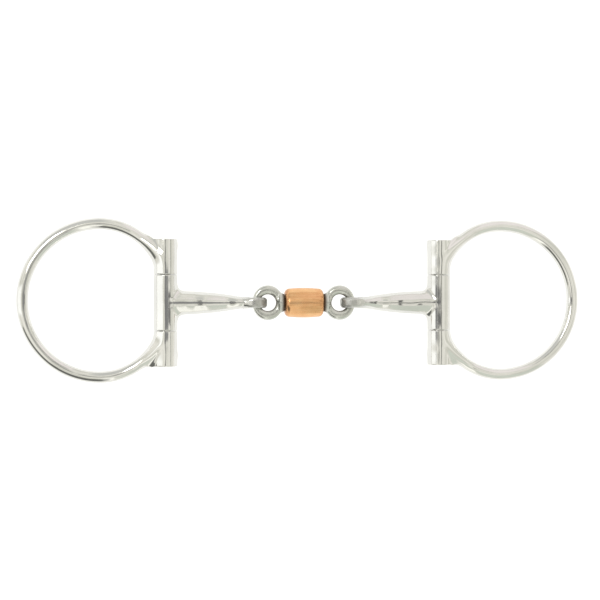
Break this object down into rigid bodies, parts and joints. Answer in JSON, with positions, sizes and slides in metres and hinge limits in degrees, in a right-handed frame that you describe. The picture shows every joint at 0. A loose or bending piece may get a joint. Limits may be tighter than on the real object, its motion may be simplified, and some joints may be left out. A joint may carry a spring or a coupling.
{
  "type": "snaffle bit",
  "caption": "Polished steel dee-ring snaffle bit with hinged cheek rings and a jointed mouthpiece whose centre link carries a copper roller.",
  "frame": {"origin": "centre of the copper roller, in the middle of the bit's length and thickness; the middle of its box is 1.2 mm above it along Y", "axes": "+X along the mouthpiece towards the right cheek ring, +Y along the hinge barrels towards the cheekpiece side of the rings, +Z out of the plane in which the rings lie"},
  "size_m": [0.2848, 0.0818, 0.015],
  "materials": {
    "polished_steel": "mirror-polished stainless steel",
    "ground_steel": "pin ends ground flush",
    "copper": "satin copper with fine brushing along the roller"
  },
  "bodies": {
    "link": {"link_left_eye": "polished_steel", "link_right_eye": "polished_steel"},
    "roller": {"copper_roller": "copper"},
    "left_mouthpiece": {"left_mouthpiece": "polished_steel"},
    "right_mouthpiece": {"right_mouthpiece": "polished_steel"},
    "left_cheek": {"left_cheek_ring": "polished_steel", "left_hinge_pin": "ground_steel"},
    "right_cheek": {"right_cheek_ring": "polished_steel", "right_hinge_pin": "ground_steel"}
  },
  "joints": [
    {"name": "roller_spin", "type": "hinge", "parent": "link", "child": "roller", "pos_m": [0, 0, 0], "axis": [1, 0, 0], "continuous": true},
    {"name": "left_fold", "type": "hinge", "parent": "link", "child": "left_mouthpiece", "pos_m": [-0.02495, 0, 0], "axis": [0, 1, 0], "range_deg": [-105, 105]},
    {"name": "right_fold", "type": "hinge", "parent": "link", "child": "right_mouthpiece", "pos_m": [0.02495, 0, 0], "axis": [0, -1, 0], "range_deg": [-105, 105]},
    {"name": "left_cheek_swing", "type": "hinge", "parent": "left_mouthpiece", "child": "left_cheek", "pos_m": [-0.0694, 0, 0], "axis": [0, -1, 0], "range_deg": [-165, 165]},
    {"name": "right_cheek_swing", "type": "hinge", "parent": "right_mouthpiece", "child": "right_cheek", "pos_m": [0.0694, 0, 0], "axis": [0, 1, 0], "range_deg": [-165, 165]}
  ]
}
